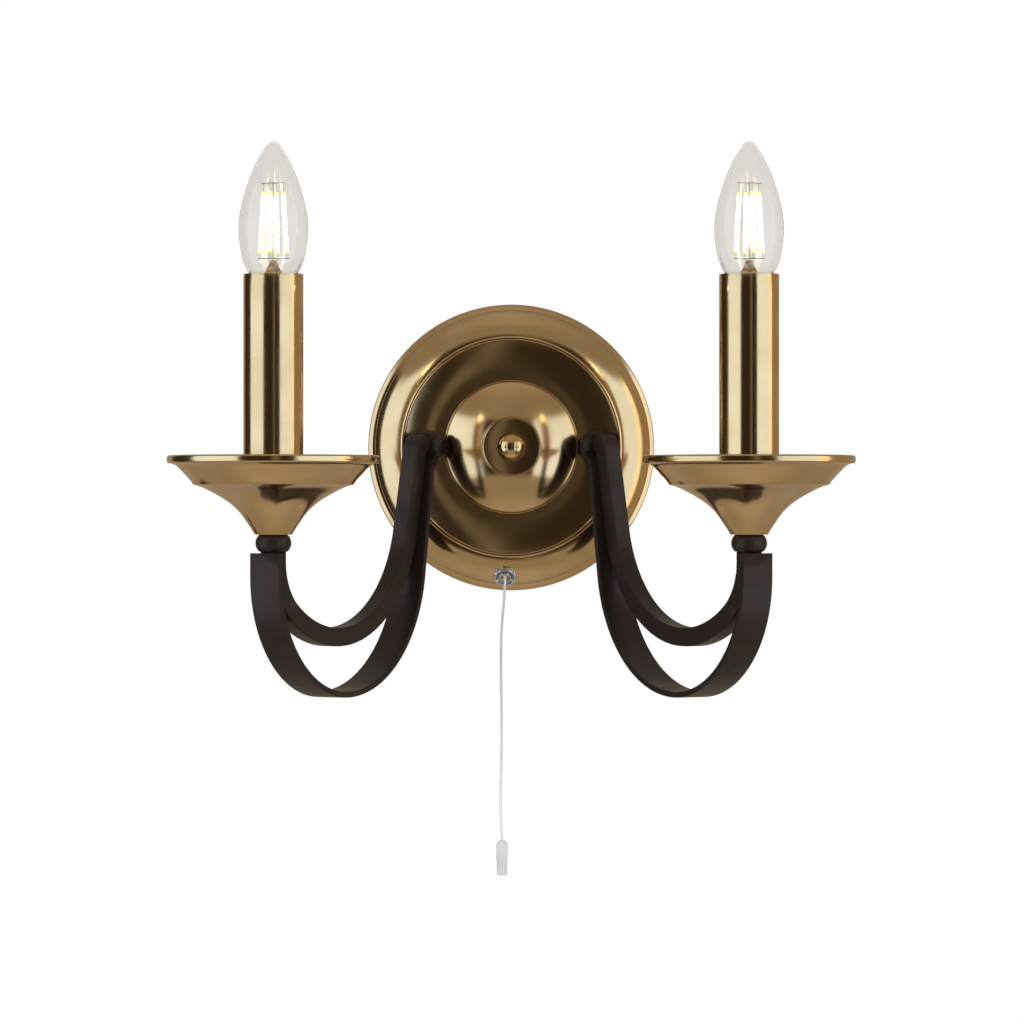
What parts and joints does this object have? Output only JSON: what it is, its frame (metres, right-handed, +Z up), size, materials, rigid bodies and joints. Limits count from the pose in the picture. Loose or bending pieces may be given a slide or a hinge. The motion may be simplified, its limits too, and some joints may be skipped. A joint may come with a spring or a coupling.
{
  "type": "double arm wall sconce",
  "caption": "Round wall plate with bowed arms to left and right, each with a drip cup, a candle tube and a candle lamp, and a pull cord switch below.",
  "frame": {"origin": "on the wall at the centre of the round plate, midway between the screw holes", "axes": "+X to the right along the arms' spread, +Y into the wall, +Z up"},
  "size_m": [0.3444, 0.196, 0.3772],
  "materials": {
    "antique_brass": "polished antique brass",
    "dark_bronze": "satin dark bronze",
    "bracket_steel": "zinc plated sheet",
    "plated_steel": "bright zinc plate",
    "brass_fittings": "plain turned brass",
    "chrome_guide": "polished",
    "white_plastic": "moulded",
    "holder_plastic": "moulded, dark",
    "weight_plastic": "moulded, off-white",
    "cord_fibre": "braided cord",
    "flex_sheath": "smooth sheath",
    "lamp_cap_metal": "rolled thread",
    "clear_glass": "clear blown glass",
    "glowing_stick": "phosphor coated"
  },
  "bodies": {
    "sconce": {"wall_bracket": "bracket_steel", "centre_rod": "plated_steel", "rod_nut": "plated_steel", "earth_screw": "brass_fittings", "terminal_block": "white_plastic", "terminal_screws": "brass_fittings", "backplate": "antique_brass", "centre_dome": "antique_brass", "finial_dish": "antique_brass", "finial_ball": "antique_brass", "switch_body": "white_plastic", "cord_guide": "chrome_guide", "guide_ring": "chrome_guide", "guide_nut": "plated_steel", "wall_ball_right": "dark_bronze", "saddle_washer_right": "plated_steel", "arm_nipple_right": "plated_steel", "arm_locknut_right": "plated_steel", "arm_tube_right": "dark_bronze", "arm_strip_right": "dark_bronze", "arm_flex_right": "flex_sheath", "cup_ball_right": "dark_bronze", "cup_nipple_right": "plated_steel", "drip_cup_right": "antique_brass", "cup_locknut_right": "plated_steel", "holder_stem_right": "plated_steel", "lampholder_right": "holder_plastic", "holder_shell_right": "plated_steel", "holder_contact_right": "brass_fittings", "candle_tube_right": "antique_brass", "wall_ball_left": "dark_bronze", "saddle_washer_left": "plated_steel", "arm_nipple_left": "plated_steel", "arm_locknut_left": "plated_steel", "arm_tube_left": "dark_bronze", "arm_strip_left": "dark_bronze", "arm_flex_left": "flex_sheath", "cup_ball_left": "dark_bronze", "cup_nipple_left": "plated_steel", "drip_cup_left": "antique_brass", "cup_locknut_left": "plated_steel", "holder_stem_left": "plated_steel", "lampholder_left": "holder_plastic", "holder_shell_left": "plated_steel", "holder_contact_left": "brass_fittings", "candle_tube_left": "antique_brass"},
    "lamp_right": {"lamp_cap_right": "lamp_cap_metal", "lamp_glass_right": "clear_glass", "lamp_stem_right": "clear_glass", "lamp_filaments_right": "glowing_stick", "lamp_wires_right": "plated_steel"},
    "lamp_left": {"lamp_cap_left": "lamp_cap_metal", "lamp_glass_left": "clear_glass", "lamp_stem_left": "clear_glass", "lamp_filaments_left": "glowing_stick", "lamp_wires_left": "plated_steel"},
    "pull_switch_cord": {"pull_cord": "cord_fibre", "pull_weight": "weight_plastic", "switch_plunger": "white_plastic"}
  },
  "joints": [
    {"name": "lamp_right_turn", "type": "hinge", "parent": "sconce", "child": "lamp_right", "pos_m": [0.11904, -0.14281, 0.09], "axis": [0, 0, 1], "continuous": true},
    {"name": "lamp_left_turn", "type": "hinge", "parent": "sconce", "child": "lamp_left", "pos_m": [-0.11904, -0.14281, 0.09], "axis": [0, 0, 1], "continuous": true},
    {"name": "cord_pull", "type": "slide", "parent": "sconce", "child": "pull_switch_cord", "axis": [0, 0, -1], "range_m": [0, 0.005], "stiffness_N_per_m": 300, "springref_m": -0.002}
  ]
}
